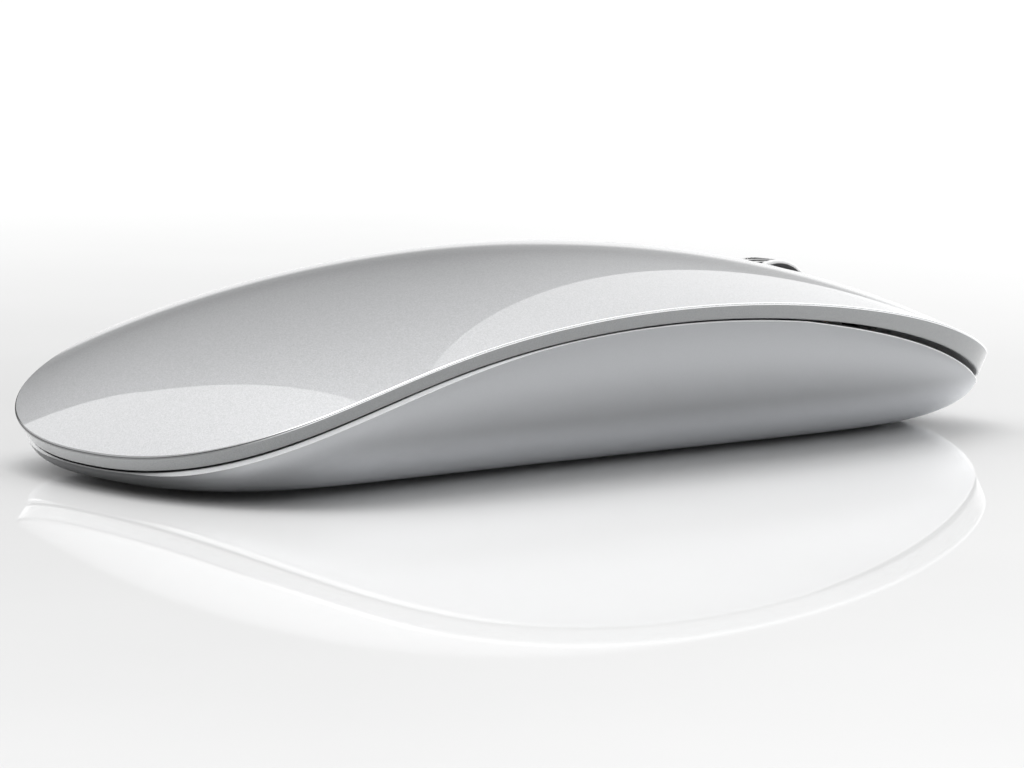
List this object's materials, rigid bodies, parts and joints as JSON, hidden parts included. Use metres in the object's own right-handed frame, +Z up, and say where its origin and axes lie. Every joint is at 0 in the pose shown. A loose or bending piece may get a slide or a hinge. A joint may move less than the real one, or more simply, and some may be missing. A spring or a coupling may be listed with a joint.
{
  "type": "computer mouse",
  "caption": "Slim cordless computer mouse with a flexing one-piece silver cover, polished edge band, bowl-shaped lower case and a small scroll wheel that clicks.",
  "frame": {"origin": "on the desk, under the middle of the body's length and width", "axes": "+Y from the palm end to the button end, +X to the mouse's right, +Z up from the desk"},
  "size_m": [0.0592, 0.113, 0.0225],
  "materials": {
    "cover_silver": "silver metallic paint under gloss lacquer",
    "case_satin": "satin silver paint",
    "frame_dark": "moulded, fine texture",
    "cell_jacket": "printed-film jacket, plain",
    "contact_metal": "nickel plated",
    "board_green": "solder mask",
    "chip_black": "moulded",
    "plunger_red": "moulded",
    "natural_plastic": "natural acetal",
    "hub_dark": "moulded",
    "tread_silver": "pale translucent rubber",
    "steel": "plain steel",
    "encoder_green": "moulded",
    "lens_clear": "clear moulded optics",
    "lamp_red": "clear red epoxy",
    "capacitor_sleeve": "shrink sleeve",
    "knob_black": "fine texture",
    "plug_metal": "nickel plated",
    "glide_grey": "low-friction film"
  },
  "bodies": {
    "root": {"palm_cover": "cover_silver", "inner_frame": "frame_dark", "lower_case": "case_satin", "battery_tray": "frame_dark", "battery_cell": "cell_jacket", "positive_contact": "contact_metal", "negative_spring": "contact_metal", "main_board": "board_green", "left_switch_body": "chip_black", "right_switch_body": "chip_black", "middle_switch_body": "chip_black", "wheel_bracket": "frame_dark", "encoder_body": "encoder_green", "sensor_chip": "chip_black", "sensor_lens": "lens_clear", "sensor_lamp": "lamp_red", "radio_chip": "chip_black", "clock_crystal": "steel", "board_capacitor": "capacitor_sleeve", "power_switch_body": "steel", "front_glide": "glide_grey", "rear_glides": "glide_grey", "case_screws": "steel", "board_screws": "steel"},
    "left_button_body": {"left_button": "cover_silver"},
    "right_button_body": {"right_button": "cover_silver"},
    "left_plunger_body": {"left_switch_plunger": "plunger_red"},
    "right_plunger_body": {"right_switch_plunger": "plunger_red"},
    "cradle_body": {"wheel_cradle": "natural_plastic"},
    "middle_plunger_body": {"middle_switch_plunger": "plunger_red"},
    "wheel_body": {"wheel_hub": "hub_dark", "wheel_tyre": "tread_silver", "wheel_axle": "steel"},
    "rotor_body": {"encoder_rotor": "natural_plastic"},
    "door_body": {"battery_door": "case_satin"},
    "receiver_unit": {"receiver_body": "knob_black", "receiver_plug": "plug_metal"},
    "knob_body": {"power_slider": "knob_black"}
  },
  "joints": [
    {"name": "left_press", "type": "hinge", "parent": "root", "child": "left_button_body", "pos_m": [0, 0.0171, 0.0195], "axis": [-1, 0, 0], "range_deg": [0, 0.75], "stiffness_Nm_per_rad": 0.4, "springref_deg": -0.17},
    {"name": "left_switch_travel", "type": "slide", "parent": "root", "child": "left_plunger_body", "axis": [0, 0, -1], "range_m": [0, 0.00032]},
    {"name": "right_press", "type": "hinge", "parent": "root", "child": "right_button_body", "pos_m": [0, 0.0171, 0.0195], "axis": [-1, 0, 0], "range_deg": [0, 0.75], "stiffness_Nm_per_rad": 0.4, "springref_deg": -0.17},
    {"name": "right_switch_travel", "type": "slide", "parent": "root", "child": "right_plunger_body", "axis": [0, 0, -1], "range_m": [0, 0.00032]},
    {"name": "wheel_press", "type": "hinge", "parent": "root", "child": "cradle_body", "pos_m": [0, 0.029, 0.0096], "axis": [-1, 0, 0], "range_deg": [0, 1], "stiffness_Nm_per_rad": 0.02, "springref_deg": -1.15},
    {"name": "middle_switch_travel", "type": "slide", "parent": "root", "child": "middle_plunger_body", "axis": [0, 0, -1], "range_m": [0, 0.0003]},
    {"name": "wheel_spin", "type": "hinge", "parent": "cradle_body", "child": "wheel_body", "pos_m": [0, 0.0371, 0.0133], "axis": [1, 0, 0], "continuous": true},
    {"name": "encoder_spin", "type": "hinge", "parent": "root", "child": "rotor_body", "pos_m": [-0.0073, 0.0371, 0.0133], "axis": [1, 0, 0], "continuous": true},
    {"name": "battery_door_open", "type": "hinge", "parent": "root", "child": "door_body", "pos_m": [0, 0.0146, 0.001], "axis": [1, 0, 0], "range_deg": [0, 75]},
    {"name": "receiver_pull", "type": "slide", "parent": "root", "child": "receiver_unit", "axis": [0, 0, -1], "range_m": [0, 0.015]},
    {"name": "power_slide", "type": "slide", "parent": "root", "child": "knob_body", "axis": [1, 0, 0], "range_m": [0, 0.002]}
  ],
  "couplings": [
    {"joint": "left_switch_travel", "follows": "left_press", "m_per_rad": 0.0229},
    {"joint": "right_switch_travel", "follows": "right_press", "m_per_rad": 0.0229},
    {"joint": "middle_switch_travel", "follows": "wheel_press", "m_per_rad": 0.0163},
    {"joint": "encoder_spin", "follows": "wheel_spin", "ratio": 1}
  ]
}
